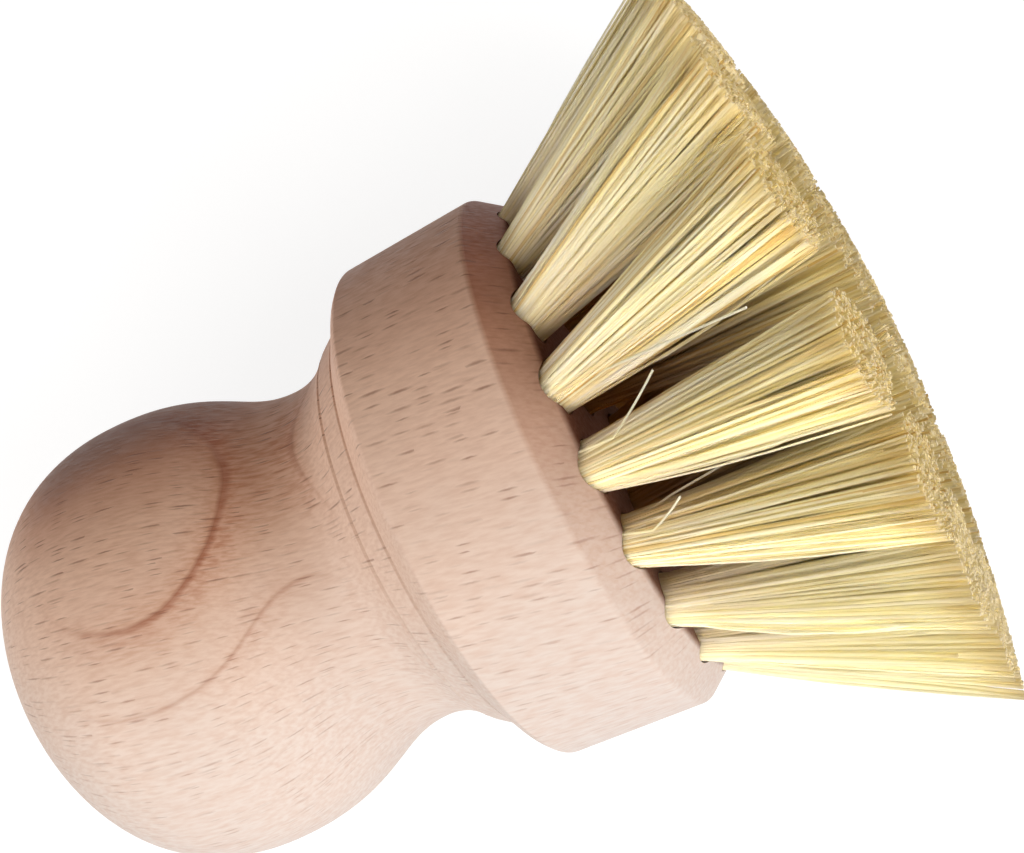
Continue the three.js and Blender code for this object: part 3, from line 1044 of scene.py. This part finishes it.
def pale_floor():
    """White floor that takes the brush's shadow and shows white to the camera."""
    made, tree = new_material("pale floor")
    matt = put(tree, "ShaderNodeBsdfDiffuse", {"Color": FLOOR_MATT})
    dim = put(tree, "ShaderNodeBsdfDiffuse", {"Color": FLOOR_SHOWN})
    glow = put(tree, "ShaderNodeEmission", {"Color": (1, 1, 1, 1), "Strength": FLOOR_GLOW})
    shown = put(tree, "ShaderNodeAddShader", {0: dim.outputs[0], 1: glow.outputs[0]})
    path = put(tree, "ShaderNodeLightPath").outputs
    mirrored = math_of(tree, "MAXIMUM", path["Is Glossy Ray"], path["Is Transmission Ray"])
    seen = math_of(tree, "MAXIMUM", path["Is Camera Ray"], mirrored)
    mix = put(tree, "ShaderNodeMixShader", {0: seen, 1: matt.outputs[0], 2: shown.outputs[0]})
    put(tree, "ShaderNodeOutputMaterial", {"Surface": mix.outputs[0]})
    return made


# The brush

WOOD = beech()
FIBRE = plant_fibre()
STEEL = anchor_steel()


def fitted(made, node, finish):
    """Gives a piece its finish and puts it in a node's place."""
    made.data.materials.clear()
    made.data.materials.append(finish)
    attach(made, "root")
    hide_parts(node)


fitted(make_handle(), "handle", WOOD)
for ring in RINGS:
    for index in range(ring.count):
        fitted(make_tuft(ring, index), f"{ring.name}_tuft_{index + 1:02d}", FIBRE)
        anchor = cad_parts[f"{ring.name}_anchor_{index + 1:02d}"]
        anchor.data.materials.clear()
        anchor.data.materials.append(STEEL)


# The stage

def make_floor():
    """A round floor that sweeps up into a low wall all round, well away from the brush."""
    wall = FLOOR_RADIUS + FLOOR_SWEEP
    sweep = curve(((FLOOR_RADIUS, 0), (wall, 0), (wall, FLOOR_SWEEP)), SWEEP_STEPS)
    rings = [Vector((FLOOR_RADIUS, 0)), *sweep, Vector((wall, WALL_HEIGHT))]
    points, faces = [Vector((0, 0, 0))], []
    for radius, height in rings:
        for side in range(FLOOR_SIDES):
            angle = 2 * math.pi * side / FLOOR_SIDES
            points.append(Vector((radius * math.cos(angle), radius * math.sin(angle), height)))
    for side in range(FLOOR_SIDES):
        beside = (side + 1) % FLOOR_SIDES
        faces.append((0, 1 + side, 1 + beside))
        for row in range(len(rings) - 1):
            low, high = 1 + row * FLOOR_SIDES, 1 + (row + 1) * FLOOR_SIDES
            faces.append((low + side, high + side, high + beside, low + beside))
    floor = piece("floor", points, faces)
    floor.data.materials.append(pale_floor())


def make_lamp(lamp):
    """A square soft lamp that looks at the brush."""
    data = bpy.data.lights.new(lamp.name, "AREA")
    data.size = lamp.size
    data.energy = lamp.power
    made = bpy.data.objects.new(lamp.name, data)
    bpy.context.scene.collection.objects.link(made)
    made.location = lamp.place
    made.rotation_euler = (LAMP_AIM - Vector(lamp.place)).to_track_quat("-Z", "Y").to_euler()


def make_camera():
    """The camera, from where the brush shows in the picture. Its axes are right, down and ahead at first."""
    roll, tilt, spin = (math.radians(x) for x in (VIEW_ROLL, VIEW_TILT, VIEW_SPIN))
    along = Vector((math.cos(tilt) * math.cos(roll), -math.cos(tilt) * math.sin(roll), -math.sin(tilt)))
    down = Vector((math.sin(roll), math.cos(roll), 0))
    under = along.cross(down)
    side = down * math.cos(spin) + under * math.sin(spin)
    under = under * math.cos(spin) - down * math.sin(spin)
    seen = Matrix((side, along, -under))  # rows: the camera's view of the brush's axes
    right, low, ahead = seen.col
    edge = [(EDGE_PIXEL[i] - PICTURE[i] / 2) * EDGE_DEPTH / FOCAL_PIXELS for i in (0, 1)]
    place = -(right * edge[0] + low * edge[1] + ahead * EDGE_DEPTH) * MM
    local = Matrix((right, -low, -ahead)).transposed().to_4x4()
    local.translation = place
    data = bpy.data.cameras.new("camera")
    data.lens = FOCAL_PIXELS / PICTURE[0] * data.sensor_width
    data.clip_start = CLIP_START
    camera = bpy.data.objects.new("camera", data)
    bpy.context.scene.collection.objects.link(camera)
    camera.matrix_world = BRUSH @ local
    bpy.context.scene.camera = camera


def make_world():
    """Dim warm light from all round."""
    world = bpy.data.worlds.new("studio")
    world.use_nodes = True
    sky = world.node_tree.nodes["Background"]
    sky.inputs["Color"].default_value = SKY_COLOUR
    sky.inputs["Strength"].default_value = SKY_STRENGTH
    bpy.context.scene.world = world


make_floor()
for lamp in LAMPS:
    make_lamp(lamp)
make_camera()
make_world()
bpy.context.scene.view_settings.view_transform = "Standard"
